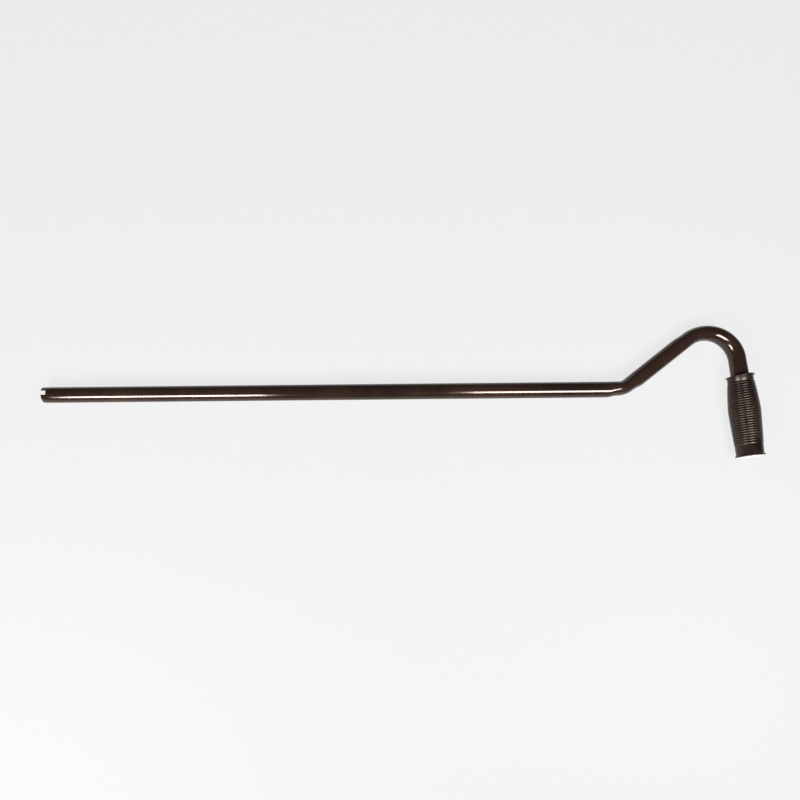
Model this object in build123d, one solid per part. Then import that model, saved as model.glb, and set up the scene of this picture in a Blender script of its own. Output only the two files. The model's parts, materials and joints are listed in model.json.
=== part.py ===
from build123d import *
import os
from math import cos, radians, sin, sqrt, tan

# Crank handle: one long steel tube, bent twice in one plane, slotted across its open drive end,
# with a ribbed rubber grip pressed over its other end.
#
# Frame: millimetres, +Z up. The origin is the centre of the tube's open mouth, on the drive axis.
# +X runs along the shank, away from the mouth. The handle lies as it comes to rest on a floor:
# on the rim of its mouth, and on the collar and the belly of the grip.

# ---- driving dimensions: lengths in millimetres, turns in degrees ----

# the tube
tube_diameter = 22.2
tube_wall = 1.65

# its straight runs between the bends
shank_straight = 805.8    # from the mouth
throw_straight = 81.5
drop_straight = 8.1       # to the grip's collar

# its bends: turn and radius of the centreline
elbow_turn = 37.8
elbow_radius = 27.3
hook_turn = 122.7
hook_radius = 44.3

# how far the outer wall sinks in at each bend, because the tube is bent empty, and the length
# over which it goes from round to oval and back
elbow_sink = 2.4
elbow_lead = 10.9
hook_sink = 1.4
hook_lead = 14.1

# the slot across the mouth, which drops over a cross pin
slot_width = 6.4
slot_depth = 6.8
slot_turn = 7.0           # from square to the crank's plane, towards the hook

# the grip, from its collar to its closed end; its swell is measured in the grooves between the ribs
grip_length = 115.0       # collar's face to the tail lip's face
collar_diameter = 34.8
collar_thickness = 1.6
neck_diameter = 31.2
neck_length = 7.7
belly_diameter = 37.8
belly_place = 51.0        # from the collar's face
belly_rise = 1.5          # powers that shape the swell on each side of the belly
belly_fall = 1.2
rib_count = 26
rib_height = 0.55
tail_diameter = 33.6
tail_length = 16.4
lip_diameter = 35.8
lip_thickness = 1.6
crown_height = 1.5        # how far the closed end stands out past the lip's face
crown_bevel = 1.1         # how far its flat is set in from the lip's edge
end_wall = 4.0            # rubber between the tube's end and the tail lip's face

# ---- fits ----
grip_clearance = 0.0      # the rubber sits tight on the tube, face to face
end_clearance = 0.0       # the tube is driven home against the grip's closed end

# ---- values worked out from the sizes above ----
tube_radius = tube_diameter / 2
bore_radius = tube_radius - tube_wall
elbow_tangent = elbow_radius * tan(radians(elbow_turn / 2))
hook_tangent = hook_radius * tan(radians(hook_turn / 2))
elbow_reach = elbow_tangent + elbow_lead    # from the bend's corner to where the tube is round again
hook_reach = hook_tangent + hook_lead
cover_length = grip_length - end_wall - end_clearance
first_root = collar_thickness + neck_length
last_root = grip_length - tail_length

# headings in the crank's plane, turned from the shank
throw_heading = elbow_turn
grip_heading = elbow_turn - hook_turn


def heading_vector(heading):
    """Return the unit vector in the crank's plane that points along a heading."""
    return Vector(cos(radians(heading)), sin(radians(heading)), 0)


def section_plane(point, heading):
    """Return a plane across the tube: its x axis is square to the crank's plane, its y axis lies in it."""
    return Plane(origin=point, x_dir=(0, 0, 1), z_dir=heading_vector(heading))


out = heading_vector(throw_heading)
back = heading_vector(grip_heading)
elbow_corner = Vector(shank_straight + elbow_reach, 0, 0)
hook_corner = elbow_corner + out * (elbow_reach + throw_straight + hook_reach)
collar_centre = hook_corner + back * (hook_reach + drop_straight)


# ---- the tube ----

def straight_run(start, heading, length, radius):
    """Return a round bar along one straight run of the centreline."""
    return extrude(section_plane(start, heading) * Circle(radius), length)


def bend_run(corner, heading, turn, bend_radius, lead, sink, inset):
    """Return one bend of the bar: it tapers from round to oval, turns as an oval and tapers back.

    The outer wall sinks in and the tube spreads sideways, so that its girth stays the same.
    inset is taken off the section all round, which gives the bore its wall.
    """
    side = 1 if turn > 0 else -1
    tangent = bend_radius * tan(radians(abs(turn) / 2))
    half_depth = tube_radius - sink / 2
    half_spread = sqrt(2 * tube_radius**2 - half_depth**2)
    round_end = Circle(tube_radius - inset)
    oval = Pos(0, -side * sink / 2) * Ellipse(half_spread - inset, half_depth - inset)

    ahead = heading_vector(heading)
    after = heading_vector(heading + turn)
    entry = corner - ahead * tangent
    leave = corner + after * tangent
    bend_centre = entry + heading_vector(heading + 90 * side) * bend_radius
    entry_oval = section_plane(entry, heading) * oval
    leave_oval = section_plane(leave, heading + turn) * oval
    entry_round = section_plane(entry - ahead * lead, heading) * round_end
    leave_round = section_plane(leave + after * lead, heading + turn) * round_end

    bend = loft([entry_round, entry_oval], ruled=True)
    bend += revolve(entry_oval, Axis(bend_centre, (0, 0, side)), abs(turn))
    bend += loft([leave_oval, leave_round], ruled=True)
    return bend


def bent_bar(inset, overrun):
    """Return the whole bent bar, smaller by inset all round and longer by overrun at both ends."""
    radius = tube_radius - inset
    throw_start = elbow_corner + out * elbow_reach
    drop_start = hook_corner + back * hook_reach
    bar = straight_run(Vector(-overrun, 0, 0), 0, shank_straight + overrun, radius)
    bar += bend_run(elbow_corner, 0, elbow_turn, elbow_radius, elbow_lead, elbow_sink, inset)
    bar += straight_run(throw_start, throw_heading, throw_straight, radius)
    bar += bend_run(hook_corner, throw_heading, -hook_turn, hook_radius, hook_lead, hook_sink, inset)
    bar += straight_run(drop_start, grip_heading, drop_straight + cover_length + overrun, radius)
    return bar


def make_tube():
    """Return the hollow bent tube with the slot sawn across its mouth."""
    overrun = tube_wall
    tube = bent_bar(0, 0) - bent_bar(tube_wall, overrun)
    slot = Box(2 * slot_depth, slot_width, 2 * tube_diameter)
    return tube - Rot(-slot_turn, 0, 0) * slot


# ---- the grip ----

def swell_radius(place):
    """Return the grip's radius in the grooves at a distance from the collar's face."""
    if place < belly_place:
        low, power, reach = neck_diameter, belly_rise, belly_place - first_root
    else:
        low, power, reach = tail_diameter, belly_fall, last_root - belly_place
    share = abs(place - belly_place) / reach
    return (belly_diameter - (belly_diameter - low) * share**power) / 2


def rib_points():
    """Return the zigzag of the moulded ribs as (radius, place) pairs: root, crest, root and so on."""
    pitch = (last_root - first_root) / rib_count
    points = []
    for rib in range(rib_count):
        root = first_root + rib * pitch
        crest = root + pitch / 2
        points.append((swell_radius(root), root))
        points.append((swell_radius(crest) + rib_height, crest))
    points.append((tail_diameter / 2, last_root))
    return points


def make_grip():
    """Return the grip as one turned form with its mouth at the origin and its axis along +Z."""
    lip_start = grip_length - lip_thickness
    crown_top = grip_length + crown_height
    bore = tube_radius + grip_clearance
    bore_end = grip_length - end_wall
    ribs = rib_points()
    outline = Polyline(
        (bore, 0),
        (collar_diameter / 2, 0),
        (collar_diameter / 2, collar_thickness),
        (neck_diameter / 2, collar_thickness),
        ribs[0],
    )
    outline += Polyline(*ribs)
    outline += Polyline(
        ribs[-1],
        (tail_diameter / 2, lip_start),
        (lip_diameter / 2, lip_start),
        (lip_diameter / 2, grip_length),
        (lip_diameter / 2 - crown_bevel, crown_top),
        (0, crown_top),
    )
    outline += Polyline((0, crown_top), (0, bore_end), (bore, bore_end), (bore, 0))
    profile = Plane.XZ * make_face(outline)
    return revolve(profile, Axis.Z)


# ---- how the handle comes to rest ----

def rest_plane():
    """Return the floor as the crank sees it: the plane under the mouth, the collar and the belly's ribs."""
    collar = collar_centre + back * collar_thickness
    up = Vector(0, 0, 1)
    for settling in range(4):
        lean = sqrt(1 - up.dot(back) ** 2)
        ribs = [(collar_centre + back * place, radius) for radius, place in rib_points()]
        rib, rib_radius = min(ribs, key=lambda ring: ring[0].dot(up) - ring[1] * lean)
        collar_rise = lean * collar_diameter / 2 - tube_radius
        rib_rise = lean * rib_radius - tube_radius
        spread = collar.X * rib.Y - collar.Y * rib.X
        lean_x = (collar_rise * rib.Y - collar.Y * rib_rise) / spread
        lean_y = (collar.X * rib_rise - collar_rise * rib.X) / spread
        up = Vector(lean_x, lean_y, sqrt(1 - lean_x**2 - lean_y**2))
    return Plane(origin=(0, 0, 0), x_dir=Vector(1, 0, 0) - up * up.X, z_dir=up)


# ---- build, lay down and write ----

floor = rest_plane()
grip_place = section_plane(collar_centre, grip_heading)

pieces = {
    "handle_tube": make_tube(),
    "grip": grip_place * make_grip(),
}

os.makedirs("parts", exist_ok=True)
for name, shape in pieces.items():
    solid = shape.moved(floor.location.inverse()).solids()[0]
    solid.label = name
    export_step(solid, f"parts/{name}.step")

print("up in the crank's frame", floor.z_dir)
print("straight bore", shank_straight, "mm, bore radius", round(bore_radius, 3), "mm")
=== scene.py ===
# %% [markdown]
# # A crank handle
#
# A long steel tube, bent twice in one plane, with a slotted open mouth at its drive end and a ribbed
# rubber grip pressed over the other end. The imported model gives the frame: its bodies, its nodes and its
# box. Everything below is modelled in that frame, in metres, and nothing is moved to fit afterwards.

# %% Load the frame
import json
from math import asin, cos, degrees, pi, radians, sin, sqrt

import bmesh
import bpy
from mathutils import Matrix, Vector


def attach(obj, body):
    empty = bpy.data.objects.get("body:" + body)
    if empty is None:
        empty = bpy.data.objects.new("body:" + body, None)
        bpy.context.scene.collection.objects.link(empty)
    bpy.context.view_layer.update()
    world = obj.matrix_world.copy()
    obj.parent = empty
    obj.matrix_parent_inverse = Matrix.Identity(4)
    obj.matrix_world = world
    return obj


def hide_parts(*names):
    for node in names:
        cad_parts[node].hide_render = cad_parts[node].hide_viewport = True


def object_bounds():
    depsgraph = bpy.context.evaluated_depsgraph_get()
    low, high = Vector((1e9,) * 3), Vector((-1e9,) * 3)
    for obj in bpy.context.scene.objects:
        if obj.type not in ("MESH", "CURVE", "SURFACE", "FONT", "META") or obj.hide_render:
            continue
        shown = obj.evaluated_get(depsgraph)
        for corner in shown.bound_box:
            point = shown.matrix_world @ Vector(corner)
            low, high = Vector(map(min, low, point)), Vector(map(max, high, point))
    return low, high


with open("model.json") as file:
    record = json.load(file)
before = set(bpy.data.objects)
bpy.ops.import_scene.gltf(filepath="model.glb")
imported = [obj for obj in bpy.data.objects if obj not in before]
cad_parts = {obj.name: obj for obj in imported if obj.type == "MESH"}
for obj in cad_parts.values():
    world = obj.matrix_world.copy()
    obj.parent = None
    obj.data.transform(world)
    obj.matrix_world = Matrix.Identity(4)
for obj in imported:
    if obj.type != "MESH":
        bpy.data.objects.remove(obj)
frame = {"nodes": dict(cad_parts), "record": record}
cad_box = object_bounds()
print("nodes:", sorted(frame["nodes"]))

# %% [markdown]
# ## The sizes of the handle
#
# The visible pieces have the same driving sizes as the solids that they stand for. They are written
# once, here, in metres. The crank's own frame is the easy one to model in: the shank lies along X from
# the mouth, and both bends lie in the XY plane. A bend's sink is how far its outer wall caves in, and
# its lead is the length over which the tube goes from round to oval.

# %% Sizes of the tube
MM = 0.001
TUBE_RADIUS = 11.1 * MM
TUBE_WALL = 1.65 * MM
SHANK_STRAIGHT = 805.8 * MM
THROW_STRAIGHT = 81.5 * MM
DROP_STRAIGHT = 8.1 * MM
ELBOW = {"turn": radians(37.8), "radius": 27.3 * MM, "sink": 2.4 * MM, "lead": 10.9 * MM}
HOOK = {"turn": radians(-122.7), "radius": 44.3 * MM, "sink": 1.4 * MM, "lead": 14.1 * MM}
LEAD_EASE = 5.0 * MM    # each lead is this much longer, so that it blends into its straight run
SLOT_WIDTH = 6.4 * MM
SLOT_DEPTH = 6.8 * MM
SLOT_TURN = radians(7.0)
print("tube", round(2 * TUBE_RADIUS / MM, 1), "mm across, wall", round(TUBE_WALL / MM, 2), "mm")

# %% [markdown]
# The grip's sizes are taken along its axis from the face of its collar, in the order in which a hand
# meets them: collar, neck, belly, tail, lip and crown. The swell is measured at the foot of the ribs.

# %% Sizes of the grip
GRIP_LENGTH = 115.0 * MM
COLLAR_RADIUS = 17.4 * MM
COLLAR_THICKNESS = 1.6 * MM
NECK_RADIUS = 15.6 * MM
NECK_LENGTH = 7.7 * MM
BELLY_RADIUS = 18.9 * MM
BELLY_PLACE = 51.0 * MM
BELLY_RISE = 1.5    # powers that shape the swell on each side of the belly
BELLY_FALL = 1.2
RIB_COUNT = 26
RIB_HEIGHT = 0.55 * MM
TAIL_RADIUS = 16.8 * MM
TAIL_LENGTH = 16.4 * MM
LIP_RADIUS = 17.9 * MM
LIP_THICKNESS = 1.6 * MM
CROWN_HEIGHT = 1.5 * MM
END_WALL = 4.0 * MM
print("grip", round(GRIP_LENGTH / MM, 1), "mm long, with", RIB_COUNT, "ribs")

# %% [markdown]
# ## From the crank's frame to the floor
#
# The handle rests on the rim of its mouth, on the collar and on the belly of the grip, so the crank's
# plane is not quite level. The record's mount gives the slope of the shank. The roll about the shank is
# the one at which the belly, the widest part of the grip, comes down on the floor as well.

# %% The crank's place in the frame
CRANK_ROLL = radians(-2.4415)
mount_axis = Vector(frame["record"]["mounts"][0]["axis"])
shank_axis = -mount_axis.normalized()
shank_dip = asin(shank_axis.z)
crank_to_frame = Matrix.Rotation(-shank_dip, 4, "Y") @ Matrix.Rotation(CRANK_ROLL, 4, "X")
floor_height = min(corner[2] for corner in cad_box)
print("shank rises", round(degrees(shank_dip), 3), "degrees, floor at", round(floor_height / MM, 2), "mm")


# %% [markdown]
# ## Small helpers
#
# An operator acts on everything that is selected, and the frame arrives selected, so a piece is always
# begun with nothing selected. The last helper places a finished piece: its turn goes into the mesh, and
# the object itself stays at the origin.

# %% Helpers for modelling
def start_piece():
    """Leave edit mode and select nothing."""
    if bpy.context.object and bpy.context.object.mode != "OBJECT":
        bpy.ops.object.mode_set(mode="OBJECT")
    bpy.ops.object.select_all(action="DESELECT")


def heading_vector(heading):
    """Return the unit vector in the crank's plane that points along a heading."""
    return Vector((cos(heading), sin(heading), 0.0))


def push(step):
    """Extrude the selected ring, or vertex, along a step."""
    bpy.ops.mesh.extrude_region_move(TRANSFORM_OT_translate={"value": tuple(step)})


def use_modifier(piece, kind, **settings):
    """Add one modifier with its settings and apply it."""
    modifier = piece.modifiers.new(kind.title(), kind)
    for name, value in settings.items():
        setattr(modifier, name, value)
    bpy.context.view_layer.objects.active = piece
    bpy.ops.object.modifier_apply(modifier=modifier.name)


def place_piece(piece):
    """Turn the piece's mesh from the crank's frame to the floor, and print its box."""
    piece.data.transform(crank_to_frame)
    piece.data.update()
    places = [vert.co for vert in piece.data.vertices]
    low = [round(min(place[axis] for place in places) / MM, 2) for axis in range(3)]
    high = [round(max(place[axis] for place in places) / MM, 2) for axis in range(3)]
    print(piece.name, "from", low, "to", high, "mm,", len(piece.data.polygons), "faces")


# %% [markdown]
# ## The tube
#
# The real tube is bent cold and empty, so its outer wall sinks in at each bend and the tube spreads
# sideways. A curve with a round bevel could follow the same line, but it would stay round. Here a ring is
# pushed along the straight runs, pressed oval over a short lead, spun round the bend and pressed
# round again, which is what the bending machine does to the metal. The oval keeps the tube's girth.

# %% Ring tools
RING_POINTS = 96
LEAD_STEPS = 8
BEND_STEP = radians(2.5)


def press_ring(centre, heading, depth, spread):
    """Scale the selected ring in the crank's plane and square to it, about its centre."""
    left = heading_vector(heading + pi / 2)
    up = Vector((0, 0, 1))
    mesh = bpy.context.object.data
    ring_mesh = bmesh.from_edit_mesh(mesh)
    for vert in [v for v in ring_mesh.verts if v.select]:
        arm = vert.co - centre
        vert.co = centre + left * arm.dot(left) * depth + up * arm.dot(up) * spread
    bmesh.update_edit_mesh(mesh)


def oval_at(share, sink):
    """Return the half depth and half spread of the section when a share of the sink is there."""
    half_depth = TUBE_RADIUS - share * sink / 2
    return half_depth, sqrt(2 * TUBE_RADIUS**2 - half_depth**2)


def lead_run(centre, heading, bend, opening):
    """Push the ring along one lead: from round to oval before a bend, and back to round after it."""
    inward = heading_vector(heading + (pi / 2 if bend["turn"] > 0 else -pi / 2))
    ahead = heading_vector(heading) * (bend["lead"] + LEAD_EASE) / LEAD_STEPS
    steps = [step / LEAD_STEPS for step in range(LEAD_STEPS + 1)]
    shares = [step * step * (3 - 2 * step) for step in steps]    # eases in and out
    if not opening:
        shares.reverse()
    for before, after in zip(shares, shares[1:]):
        shift = inward * (after - before) * bend["sink"] / 2
        push(ahead + shift)
        centre = centre + ahead + shift
        old_depth, old_spread = oval_at(before, bend["sink"])
        new_depth, new_spread = oval_at(after, bend["sink"])
        press_ring(centre, heading, new_depth / old_depth, new_spread / old_spread)
    return centre


def bend_run(centre, heading, bend):
    """Take the ring through one bend and its two leads, and return its centre and heading after it."""
    side = 1 if bend["turn"] > 0 else -1
    inward = heading_vector(heading + side * pi / 2)
    centre = lead_run(centre, heading, bend, True)
    pivot = centre + inward * (bend["radius"] - bend["sink"] / 2)
    steps = round(abs(bend["turn"]) / BEND_STEP)
    bpy.ops.mesh.spin(steps=steps, angle=abs(bend["turn"]), center=tuple(pivot), axis=(0, 0, -side))
    centre = pivot + Matrix.Rotation(bend["turn"], 3, "Z") @ (centre - pivot)
    centre = lead_run(centre, heading + bend["turn"], bend, False)
    return centre, heading + bend["turn"]


# %% [markdown]
# The skin starts as one ring at the mouth. Each straight run gives up the length that its leads take,
# and the last push takes the ring through the grip to the tube's hidden end.

# %% The bent skin of the tube
MOUTH_RING = 14 * MM
SHANK_RINGS = 12
THROW_RINGS = 4
SHANK_RUN = SHANK_STRAIGHT - LEAD_EASE
THROW_RUN = THROW_STRAIGHT - 2 * LEAD_EASE
DROP_RUN = DROP_STRAIGHT - LEAD_EASE

start_piece()
bpy.ops.mesh.primitive_circle_add(vertices=RING_POINTS, radius=TUBE_RADIUS, rotation=(0, pi / 2, 0))
tube = bpy.context.object
tube.name = "bent_tube"
bpy.ops.object.transform_apply(location=True, rotation=True, scale=True)
bpy.ops.object.mode_set(mode="EDIT")
bpy.ops.mesh.select_all(action="SELECT")
push((MOUTH_RING, 0, 0))
for ring in range(SHANK_RINGS):
    push(((SHANK_RUN - MOUTH_RING) / SHANK_RINGS, 0, 0))
ring_centre, throw_heading = bend_run(Vector((SHANK_RUN, 0, 0)), 0.0, ELBOW)
for ring in range(THROW_RINGS):
    push(heading_vector(throw_heading) * THROW_RUN / THROW_RINGS)
ring_centre += heading_vector(throw_heading) * THROW_RUN
ring_centre, grip_heading = bend_run(ring_centre, throw_heading, HOOK)
push(heading_vector(grip_heading) * DROP_RUN)
collar_centre = ring_centre + heading_vector(grip_heading) * DROP_RUN
push(heading_vector(grip_heading) * (GRIP_LENGTH - END_WALL))
bpy.ops.mesh.select_all(action="SELECT")
bpy.ops.mesh.normals_make_consistent(inside=False)
bpy.ops.object.mode_set(mode="OBJECT")
print("collar at", [round(c / MM, 2) for c in collar_centre], "mm")
print("grip heading", round(degrees(grip_heading), 2), "degrees")

# %% [markdown]
# The wall comes from Solidify, which thickens the skin inwards. The slot is sawn through both sides of
# the mouth with a box, as the real one is, so its two cheeks are flat and parallel. A narrow bevel then
# breaks the sawn edges, because no cut steel edge under paint is perfectly sharp.

# %% The wall and the slot
SAW_HEIGHT = 4 * TUBE_RADIUS

use_modifier(tube, "SOLIDIFY", thickness=TUBE_WALL, offset=-1.0, use_even_offset=True)
start_piece()
bpy.ops.mesh.primitive_cube_add(size=1.0)
saw = bpy.context.object
saw.scale = (2 * SLOT_DEPTH, SLOT_WIDTH, SAW_HEIGHT)
saw.rotation_euler = (-SLOT_TURN, 0, 0)
bpy.ops.object.transform_apply(location=True, rotation=True, scale=True)
use_modifier(tube, "BOOLEAN", operation="DIFFERENCE", object=saw, solver="EXACT")
bpy.data.objects.remove(saw)
print("sawn tube:", len(tube.data.polygons), "faces")

# %% Broken edges at the mouth
EDGE_BREAK = 0.25 * MM
EDGE_SEGMENTS = 2
SAWN_ANGLE = radians(50)
TUBE_SMOOTH_ANGLE = radians(35)

start_piece()
bpy.context.view_layer.objects.active = tube
tube.select_set(True)
bpy.ops.object.mode_set(mode="EDIT")
bpy.ops.mesh.select_all(action="DESELECT")
tube_mesh = bmesh.from_edit_mesh(tube.data)
for edge in tube_mesh.edges:
    near_mouth = all(v.co.x < MOUTH_RING / 2 for v in edge.verts)
    if near_mouth and len(edge.link_faces) == 2 and edge.calc_face_angle() > SAWN_ANGLE:
        edge.select_set(True)
bmesh.update_edit_mesh(tube.data)
bpy.ops.mesh.bevel(offset=EDGE_BREAK, segments=EDGE_SEGMENTS, clamp_overlap=True)
bpy.ops.object.mode_set(mode="OBJECT")
bpy.ops.object.shade_smooth_by_angle(angle=TUBE_SMOOTH_ANGLE)
place_piece(tube)

# %% [markdown]
# ## The grip
#
# A moulded grip is a turned form, so half of its section is drawn point by point and spun round the
# tube's axis. The ribs are small round rings with narrow grooves between them. Their height rides on a
# smooth swell: thin at the neck, fullest at the belly and thinner again at the tail.

# %% The swell and its ribs
RIB_POINTS = 8
GROOVE_DEPTH = 0.5 * MM
FIRST_ROOT = COLLAR_THICKNESS + NECK_LENGTH
LAST_ROOT = GRIP_LENGTH - TAIL_LENGTH


def swell_radius(place):
    """Return the radius at the foot of the ribs, at a distance from the collar's face."""
    if place < BELLY_PLACE:
        low, power, reach = NECK_RADIUS, BELLY_RISE, BELLY_PLACE - FIRST_ROOT
    else:
        low, power, reach = TAIL_RADIUS, BELLY_FALL, LAST_ROOT - BELLY_PLACE
    share = min(abs(place - BELLY_PLACE) / reach, 1.0)
    return BELLY_RADIUS - (BELLY_RADIUS - low) * share**power


def rib_section():
    """Return (place, radius) points over all the ribs."""
    pitch = (LAST_ROOT - FIRST_ROOT) / RIB_COUNT
    points = []
    for rib in range(RIB_COUNT):
        for step in range(RIB_POINTS):
            share = step / RIB_POINTS
            rise = sqrt(1 - (2 * share - 1) ** 2)
            place = FIRST_ROOT + (rib + share) * pitch
            radius = swell_radius(place) - GROOVE_DEPTH + (RIB_HEIGHT + GROOVE_DEPTH) * rise
            points.append((place, radius))
    return points


# %% [markdown]
# Moulded rubber has no sharp corners, so the section turns each one with an arc or with a few points.
# The points near a corner are written as millimetres along the grip and outwards from that corner. The
# closed end is a crown: a rounded step, then a low dome that runs in to the axis.

# %% The section of the grip
ARC_STEPS = 4
COLLAR_ROUND = COLLAR_THICKNESS * 0.45
COLLAR_FILLET = [(0.0, 0.5), (0.2, 0.15), (0.6, 0.0)]
NECK_END = [(-0.5, 0.0)]
TAIL_START = [(0.0, -0.1), (0.4, 0.0)]
TAIL_WAIST = [(-0.8, -0.3), (-0.2, -0.1), (0.0, 0.3)]
LIP_START = GRIP_LENGTH - LIP_THICKNESS
LIP_BREAK = 0.3 * MM
CROWN_STEPS = 8
CROWN_EDGE = LIP_RADIUS - 0.5 * MM
CROWN_ROUND = 1.2 * MM
CROWN_DOME = 1.2 * MM


def quarter_arc(place, radius, along, outward, start, steps):
    """Return points on a quarter of an ellipse about one point, turning clockwise from an angle."""
    turns = [pi / 2 * step / steps for step in range(1, steps + 1)]
    return [(place + along * cos(start - turn), radius + outward * sin(start - turn)) for turn in turns]


def near_corner(place, radius, offsets):
    """Return points at distances in millimetres, along and outwards, from one corner of the section."""
    return [(place + along * MM, radius + outward * MM) for along, outward in offsets]


collar_side = COLLAR_RADIUS - COLLAR_ROUND
collar_back = COLLAR_THICKNESS - COLLAR_ROUND
dome_radius = CROWN_EDGE - CROWN_ROUND
section = [(0.0, TUBE_RADIUS), (0.0, collar_side)]
section += quarter_arc(COLLAR_ROUND, collar_side, COLLAR_ROUND, COLLAR_ROUND, pi, ARC_STEPS)
section += quarter_arc(collar_back, collar_side, COLLAR_ROUND, COLLAR_ROUND, pi / 2, ARC_STEPS)
section += near_corner(COLLAR_THICKNESS, NECK_RADIUS, COLLAR_FILLET)
section += near_corner(FIRST_ROOT, NECK_RADIUS, NECK_END)
section += rib_section()
section += near_corner(LAST_ROOT, TAIL_RADIUS, TAIL_START)
section += near_corner(LIP_START, TAIL_RADIUS, TAIL_WAIST)
section += [(LIP_START, LIP_RADIUS - LIP_BREAK), (LIP_START + LIP_BREAK, LIP_RADIUS)]
section += [(GRIP_LENGTH - LIP_BREAK, LIP_RADIUS), (GRIP_LENGTH, LIP_RADIUS - LIP_BREAK)]
section += [(GRIP_LENGTH, CROWN_EDGE)]
section += quarter_arc(GRIP_LENGTH, dome_radius, CROWN_HEIGHT, CROWN_ROUND, pi / 2, CROWN_STEPS)
for step in range(1, CROWN_STEPS + 1):
    share = 1 - step / CROWN_STEPS
    section.append((GRIP_LENGTH + CROWN_HEIGHT + CROWN_DOME * (1 - share**2), dome_radius * share))
section += [(GRIP_LENGTH - END_WALL, 0.0), (GRIP_LENGTH - END_WALL, TUBE_RADIUS), (0.0, TUBE_RADIUS)]
print("grip section:", len(section), "points")

# %% [markdown]
# The section is drawn by pushing one vertex from point to point, as with a pen, and spun a full turn.
# Its first and last rings then lie on each other, and so do the copies of the points on the axis, so
# doubles are merged before the normals are turned outwards.

# %% Draw the section and spin it
GRIP_STEPS = 144
MERGE_REACH = 0.005 * MM

start_piece()
bpy.ops.mesh.primitive_plane_add(size=MM)
grip = bpy.context.object
grip.name = "ribbed_grip"
bpy.ops.object.mode_set(mode="EDIT")
bpy.ops.mesh.select_all(action="SELECT")
bpy.ops.mesh.merge(type="CENTER")
pen = Vector((*section[0], 0))
bpy.ops.transform.translate(value=tuple(pen))
for place, radius in section[1:]:
    target = Vector((place, radius, 0))
    push(target - pen)
    pen = target
bpy.ops.mesh.select_all(action="SELECT")
bpy.ops.mesh.spin(steps=GRIP_STEPS, angle=2 * pi, center=(0, 0, 0), axis=(1, 0, 0))
bpy.ops.mesh.select_all(action="SELECT")
bpy.ops.mesh.remove_doubles(threshold=MERGE_REACH)
bpy.ops.mesh.normals_make_consistent(inside=False)
bpy.ops.object.mode_set(mode="OBJECT")
print("spun grip:", len(grip.data.vertices), "points")

# %% [markdown]
# The collar is a thin flange of soft rubber, and hands push on it, so it droops on one side. The droop
# is greatest at the rim and fades towards the neck and round the collar.

# %% The collar's droop, and the grip's place
COLLAR_DROOP = 1.2 * MM
DROOP_TURN = radians(20)
DROOP_END = COLLAR_THICKNESS + 0.1 * MM
GRIP_SMOOTH_ANGLE = radians(60)

droop_side = Vector((0, -cos(DROOP_TURN), sin(DROOP_TURN)))
for vert in grip.data.vertices:
    arm = Vector((0, vert.co.y, vert.co.z))
    reach = (arm.length - NECK_RADIUS) / (COLLAR_RADIUS - NECK_RADIUS)
    if vert.co.x < DROOP_END and reach > 0:
        facing = max(arm.normalized().dot(droop_side), 0.0)
        vert.co.x += COLLAR_DROOP * min(reach, 1.0) * facing**2
grip.data.transform(Matrix.Translation(collar_centre) @ Matrix.Rotation(grip_heading, 4, "Z"))
bpy.ops.object.shade_smooth_by_angle(angle=GRIP_SMOOTH_ANGLE)
place_piece(grip)

# %% [markdown]
# ## Finishes
#
# Both finishes are nearly black, so almost all that shows is gloss. The paint is a smooth enamel with a
# faint orange peel and a warm tint. The rubber is duller, with a fine moulded grain and a little dust.
# Cloudy variation and grain serve both, so they are one group of nodes, placed in each material with
# its own scales.

# %% A node group for cloudy variation and fine grain
NOISE_DETAIL = {"Cloud": 4.0, "Grain": 2.0}


def make_surface_group():
    """Two scales of noise in one group: a slow cloud for colour and gloss, and a fine grain for bump."""
    group = bpy.data.node_groups.new("cloud_and_grain", "ShaderNodeTree")
    group.interface.new_socket("Vector", in_out="INPUT", socket_type="NodeSocketVector")
    for name in NOISE_DETAIL:
        group.interface.new_socket(name + " Scale", in_out="INPUT", socket_type="NodeSocketFloat")
        group.interface.new_socket(name, in_out="OUTPUT", socket_type="NodeSocketFloat")
    nodes, links = group.nodes, group.links
    inlet = nodes.new("NodeGroupInput")
    outlet = nodes.new("NodeGroupOutput")
    for name, detail in NOISE_DETAIL.items():
        noise = nodes.new("ShaderNodeTexNoise")
        noise.inputs["Detail"].default_value = detail
        links.new(inlet.outputs["Vector"], noise.inputs["Vector"])
        links.new(inlet.outputs[name + " Scale"], noise.inputs["Scale"])
        links.new(noise.outputs["Fac"], outlet.inputs[name])
    return group


surface_group = make_surface_group()
print("node group:", surface_group.name, "with", len(surface_group.nodes), "nodes")


# %% [markdown]
# Each material starts the same way: the grain feeds its normal, and its gloss is tinted a little warm,
# as on brown-black enamel and rubber. A Mix node holds the sockets of all its data types at once, so the
# ones in use are picked by number.

# %% Helpers for materials
WARM_GLOSS = (1.0, 0.82, 0.72, 1.0)
MIX_FACTOR = 0
MIX_VALUE_A, MIX_VALUE_B, MIX_VALUE_RESULT = 2, 3, 0
MIX_COLOUR_A, MIX_COLOUR_B, MIX_COLOUR_RESULT = 6, 7, 2


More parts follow.
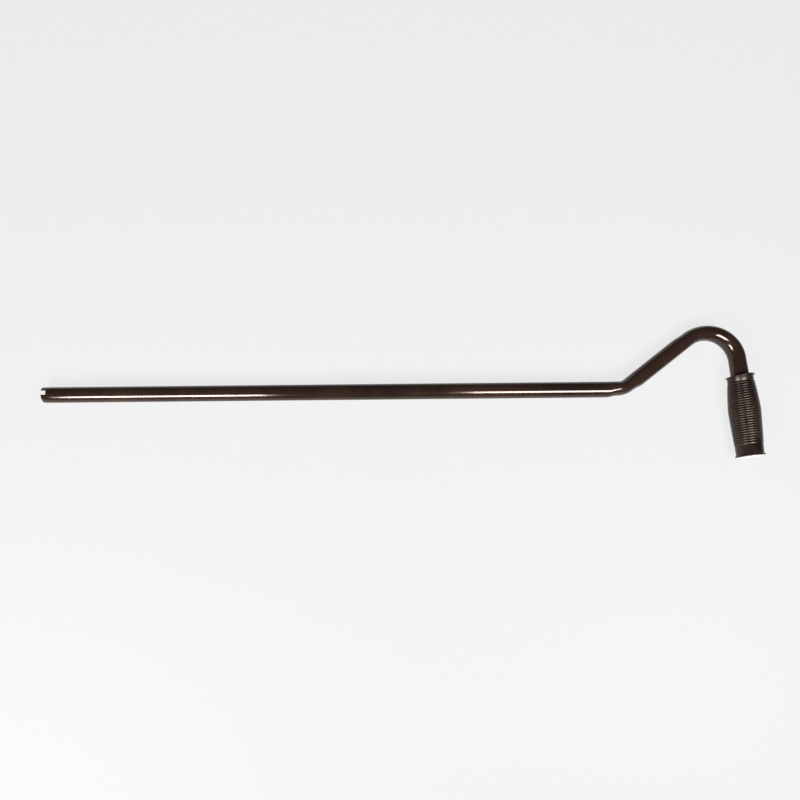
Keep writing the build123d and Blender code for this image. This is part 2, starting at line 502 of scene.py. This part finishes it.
def new_material(name, cloud_scale, grain_scale, bump, bump_distance):
    """Start a material whose grain feeds its normal. Return it, its shader and its group node."""
    material = bpy.data.materials.new(name)
    material.use_nodes = True
    nodes, links = material.node_tree.nodes, material.node_tree.links
    shader = nodes["Principled BSDF"]
    shader.inputs["Specular Tint"].default_value = WARM_GLOSS
    place = nodes.new("ShaderNodeTexCoord")
    surface = nodes.new("ShaderNodeGroup")
    surface.node_tree = surface_group
    surface.inputs["Cloud Scale"].default_value = cloud_scale
    surface.inputs["Grain Scale"].default_value = grain_scale
    links.new(place.outputs["Object"], surface.inputs["Vector"])
    grain = nodes.new("ShaderNodeBump")
    grain.inputs["Strength"].default_value = bump
    grain.inputs["Distance"].default_value = bump_distance
    links.new(surface.outputs["Grain"], grain.inputs["Height"])
    links.new(grain.outputs["Normal"], shader.inputs["Normal"])
    return material, shader, surface


def remap(material, value, span, result=(0, 1)):
    """Map a value from one span to another and return the output socket."""
    node = material.node_tree.nodes.new("ShaderNodeMapRange")
    node.inputs["From Min"].default_value, node.inputs["From Max"].default_value = span
    node.inputs["To Min"].default_value, node.inputs["To Max"].default_value = result
    material.node_tree.links.new(value, node.inputs["Value"])
    return node.outputs["Result"]


def blend_colours(material, factor, first, second):
    """Mix two colours, or a colour socket and a colour, by a factor socket."""
    node = material.node_tree.nodes.new("ShaderNodeMix")
    node.data_type = "RGBA"
    material.node_tree.links.new(factor, node.inputs[MIX_FACTOR])
    if isinstance(first, bpy.types.NodeSocket):
        material.node_tree.links.new(first, node.inputs[MIX_COLOUR_A])
    else:
        node.inputs[MIX_COLOUR_A].default_value = (*first, 1)
    node.inputs[MIX_COLOUR_B].default_value = (*second, 1)
    return node.outputs[MIX_COLOUR_RESULT]


def blend_values(material, factor, first, second):
    """Mix a value socket and a plain value by a factor socket."""
    node = material.node_tree.nodes.new("ShaderNodeMix")
    material.node_tree.links.new(factor, node.inputs[MIX_FACTOR])
    material.node_tree.links.new(first, node.inputs[MIX_VALUE_A])
    node.inputs[MIX_VALUE_B].default_value = second
    return node.outputs[MIX_VALUE_RESULT]


def multiply(material, first, second):
    """Multiply two value sockets and return the output socket."""
    node = material.node_tree.nodes.new("ShaderNodeMath")
    node.operation = "MULTIPLY"
    material.node_tree.links.new(first, node.inputs[0])
    material.node_tree.links.new(second, node.inputs[1])
    return node.outputs[0]


def along_axis(material, origin, direction):
    """Return a socket with the distance, in metres, from a point along a direction."""
    nodes, links = material.node_tree.nodes, material.node_tree.links
    place = nodes.new("ShaderNodeTexCoord")
    shifted = nodes.new("ShaderNodeVectorMath")
    shifted.operation = "SUBTRACT"
    shifted.inputs[1].default_value = tuple(origin)
    links.new(place.outputs["Object"], shifted.inputs[0])
    length = nodes.new("ShaderNodeVectorMath")
    length.operation = "DOT_PRODUCT"
    length.inputs[1].default_value = tuple(direction)
    links.new(shifted.outputs["Vector"], length.inputs[0])
    return length.outputs["Value"]


# %% [markdown]
# ### Gloss black paint
#
# Stove enamel on tube is smooth, but never a mirror: a slow waviness bends its highlights. Where the
# cross pin rubs in the slot the paint is scuffed, so the last millimetres at the mouth get a worn mask
# broken up by the fine grain.

# %% Gloss black paint
PAINT_DARK = (0.0085, 0.0045, 0.0034)
PAINT_WARM = (0.0190, 0.0095, 0.0070)
PAINT_WORN = (0.105, 0.075, 0.060)
PAINT_ROUGHNESS = (0.10, 0.14)
WARM_CLOUDS = (0.35, 0.70)
GLOSS_CLOUDS = (0.3, 0.7)
SCUFF_GRAIN = (0.45, 0.62)
WEAR_LENGTH = 2.2 * MM

paint, paint_shader, paint_surface = new_material(
    "gloss_black_paint", cloud_scale=14.0, grain_scale=160.0, bump=0.015, bump_distance=0.05 * MM)
paint_cloud = paint_surface.outputs["Cloud"]
paint_colour = blend_colours(paint, remap(paint, paint_cloud, WARM_CLOUDS), PAINT_DARK, PAINT_WARM)
mouth_distance = along_axis(paint, (0, 0, 0), crank_to_frame.to_3x3() @ Vector((1, 0, 0)))
mouth_mask = remap(paint, mouth_distance, (0, WEAR_LENGTH), (1, 0))
worn_mask = multiply(paint, mouth_mask, remap(paint, paint_surface.outputs["Grain"], SCUFF_GRAIN))
paint_roughness = remap(paint, paint_cloud, GLOSS_CLOUDS, PAINT_ROUGHNESS)
worn_colour = blend_colours(paint, worn_mask, paint_colour, PAINT_WORN)
paint.node_tree.links.new(worn_colour, paint_shader.inputs["Base Color"])
paint.node_tree.links.new(paint_roughness, paint_shader.inputs["Roughness"])
print("paint:", len(paint.node_tree.nodes), "nodes")

# %% [markdown]
# ### Moulded rubber
#
# Rubber scatters light from a fine grain, so its highlights are broad and dim. Its closed end is painted
# pale: a painted reflection of the bright surroundings, which its smooth face shows at a grazing angle,
# patchy where the cloud is thin. A mask along the grip's axis starts the painted reflection on the crown,
# clear of the lip.

# %% Moulded rubber
RUBBER_DARK = (0.0060, 0.0035, 0.0028)
RUBBER_DUST = (0.0170, 0.0100, 0.0075)
# Painted reflection: this pale colour on the grip's closed end stands for bright surroundings mirrored in
# its smooth face.
END_PAINTED_REFLECTION = (0.42, 0.37, 0.35)
RUBBER_SPECULAR = 0.35
RUBBER_ROUGHNESS = (0.30, 0.40)
END_ROUGHNESS = 0.32
DUST_CLOUDS = (0.38, 0.72)
PAINTED_REFLECTION_CLOUDS = (0.25, 0.50)
PAINTED_REFLECTION_COVER = (0.6, 1)
PAINTED_REFLECTION_START = (GRIP_LENGTH + 0.3 * MM, GRIP_LENGTH + 0.8 * MM)

grip_axis = crank_to_frame.to_3x3() @ heading_vector(grip_heading)
grip_origin = crank_to_frame @ collar_centre
rubber, rubber_shader, rubber_surface = new_material(
    "moulded_rubber", cloud_scale=45.0, grain_scale=1500.0, bump=0.25, bump_distance=0.15 * MM)
rubber_shader.inputs["Specular IOR Level"].default_value = RUBBER_SPECULAR
rubber_cloud = rubber_surface.outputs["Cloud"]
rubber_colour = blend_colours(rubber, remap(rubber, rubber_cloud, DUST_CLOUDS), RUBBER_DARK, RUBBER_DUST)
end_mask = remap(rubber, along_axis(rubber, grip_origin, grip_axis), PAINTED_REFLECTION_START)
# The painted reflection lies only on the crown, and is patchy where the cloud is thin.
painted_reflection_mask = multiply(rubber, end_mask, remap(rubber, rubber_cloud, PAINTED_REFLECTION_CLOUDS, PAINTED_REFLECTION_COVER))
side_roughness = remap(rubber, rubber_cloud, GLOSS_CLOUDS, RUBBER_ROUGHNESS)
rubber_roughness = blend_values(rubber, end_mask, side_roughness, END_ROUGHNESS)
colour_with_painted_reflection = blend_colours(rubber, painted_reflection_mask, rubber_colour, END_PAINTED_REFLECTION)
rubber.node_tree.links.new(colour_with_painted_reflection, rubber_shader.inputs["Base Color"])
rubber.node_tree.links.new(rubber_roughness, rubber_shader.inputs["Roughness"])
print("rubber:", len(rubber.node_tree.nodes), "nodes")

# %% [markdown]
# ## The pieces take their place
#
# Each piece gets its finish, and so does the imported node that it stands for, so that the two never
# differ. Then each piece rides on its body and replaces its node.

# %% Finishes on the pieces and on their nodes
for piece, node, material in ((tube, "handle_tube", paint), (grip, "grip", rubber)):
    for holder in (piece, frame["nodes"][node]):
        holder.data.materials.clear()
        holder.data.materials.append(material)
print("materials:", paint.name, rubber.name)

# %% The pieces take their place on the frame
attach(tube, "root")
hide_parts("handle_tube")
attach(grip, "root")
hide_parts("grip")

# %% [markdown]
# ## Floor, camera and light
#
# The floor is plain and pale. To the camera and in gloss, nearly all of its brightness is its own even
# tone, and the rest is the light that falls on it, so the handle keeps a faint shadow and no lamp has to
# be turned up.

# %% Floor
FLOOR_TONE = (0.83, 0.83, 0.83, 1)
FLOOR_OWN_SHARE = 0.95
FLOOR_ROUGHNESS = 0.9
FLOOR_SIZE = 12
FLOOR_MIDDLE = (0.4, -0.1)

start_piece()
bpy.ops.mesh.primitive_plane_add(size=FLOOR_SIZE, location=(*FLOOR_MIDDLE, floor_height))
floor = bpy.context.object
floor.name = "floor"
floor_paint = bpy.data.materials.new("pale_floor")
floor_paint.use_nodes = True
floor_nodes, floor_links = floor_paint.node_tree.nodes, floor_paint.node_tree.links
floor_shader = floor_nodes["Principled BSDF"]
floor_shader.inputs["Base Color"].default_value = FLOOR_TONE
floor_shader.inputs["Roughness"].default_value = FLOOR_ROUGHNESS
floor_shader.inputs["Specular IOR Level"].default_value = 0.0
own_tone = floor_nodes.new("ShaderNodeEmission")
own_tone.inputs["Color"].default_value = FLOOR_TONE
floor_ray = floor_nodes.new("ShaderNodeLightPath")
seen = floor_nodes.new("ShaderNodeMath")
seen.operation = "MAXIMUM"
floor_links.new(floor_ray.outputs["Is Camera Ray"], seen.inputs[0])
floor_links.new(floor_ray.outputs["Is Glossy Ray"], seen.inputs[1])
own_share = floor_nodes.new("ShaderNodeMath")
own_share.operation = "MULTIPLY"
own_share.inputs[1].default_value = FLOOR_OWN_SHARE
floor_links.new(seen.outputs[0], own_share.inputs[0])
floor_mix = floor_nodes.new("ShaderNodeMixShader")
floor_links.new(own_share.outputs[0], floor_mix.inputs["Fac"])
floor_links.new(floor_shader.outputs["BSDF"], floor_mix.inputs[1])
floor_links.new(own_tone.outputs["Emission"], floor_mix.inputs[2])
floor_links.new(floor_mix.outputs["Shader"], floor_nodes["Material Output"].inputs["Surface"])
floor.data.materials.append(floor_paint)

# %% [markdown]
# The camera looks straight down from a little under a metre, so the tube's width falls off gently from
# the middle to the ends. Its lens is shifted, as on a view camera: the handle lies to one side of the
# picture, and the film stays parallel to the floor.

# %% Camera
CAMERA_PLACE = (0.4160, -0.1635, 0.8326)
CAMERA_TURN = (0.0037, 0.0001, -0.0085)
CAMERA_LENS = 26.21
CAMERA_SENSOR = 36
CAMERA_SHIFT = (0.080, 0.131)

camera_data = bpy.data.cameras.new("camera")
camera = bpy.data.objects.new("camera", camera_data)
bpy.context.scene.collection.objects.link(camera)
camera.location = CAMERA_PLACE
camera.rotation_euler = CAMERA_TURN
camera_data.lens = CAMERA_LENS
camera_data.sensor_width = CAMERA_SENSOR
camera_data.shift_x, camera_data.shift_y = CAMERA_SHIFT
bpy.context.scene.camera = camera
print("camera", round((camera.location.z - floor_height) / MM), "mm above the floor")

# %% [markdown]
# A dark gloss tube shows its lamps as bright lines, so the lamps are chosen for their shape. Two wide
# softboxes hang in front of the handle at the camera's height, one off each end of the shank, and the
# gap between them breaks the line. The room is dim and plain, and only the camera sees its backdrop.

# %% The room
ROOM_TONE = (0.80, 0.80, 0.80, 1)
ROOM_STRENGTH = 0.15
BACKDROP_TONE = (0.83, 0.83, 0.83, 1)

world = bpy.data.worlds.new("studio")
bpy.context.scene.world = world
world.use_nodes = True
world_nodes, world_links = world.node_tree.nodes, world.node_tree.links
room = world_nodes["Background"]
room.inputs["Color"].default_value = ROOM_TONE
room.inputs["Strength"].default_value = ROOM_STRENGTH
backdrop = world_nodes.new("ShaderNodeBackground")
backdrop.inputs["Color"].default_value = BACKDROP_TONE
world_ray = world_nodes.new("ShaderNodeLightPath")
world_mix = world_nodes.new("ShaderNodeMixShader")
world_links.new(world_ray.outputs["Is Camera Ray"], world_mix.inputs["Fac"])
world_links.new(room.outputs["Background"], world_mix.inputs[1])
world_links.new(backdrop.outputs["Background"], world_mix.inputs[2])
world_links.new(world_mix.outputs["Shader"], world_nodes["World Output"].inputs["Surface"])


# %% The softboxes
def softbox(name, place, target, width, height, power):
    """Hang one rectangular area lamp at a place, facing a target. Sizes in metres, power in watts."""
    data = bpy.data.lights.new(name, "AREA")
    data.shape = "RECTANGLE"
    data.size = width
    data.size_y = height
    data.energy = power
    lamp = bpy.data.objects.new(name, data)
    bpy.context.scene.collection.objects.link(lamp)
    lamp.location = place
    lamp.rotation_euler = (Vector(target) - Vector(place)).to_track_quat("-Z", "Y").to_euler()
    print(name, width, "by", height, "m,", power, "W")


softbox("left_softbox", place=(-0.19, -0.87, 0.83), target=(-0.19, 0, 0), width=0.69, height=0.42, power=42)
softbox("right_softbox", place=(1.05, -0.56, 0.83), target=(1.05, 0, 0), width=0.45, height=0.36, power=20)

# %% [markdown]
# ## Finish
#
# The Standard view transform shows a colour as it is written.

# %% Finish
bpy.context.scene.view_settings.view_transform = "Standard"
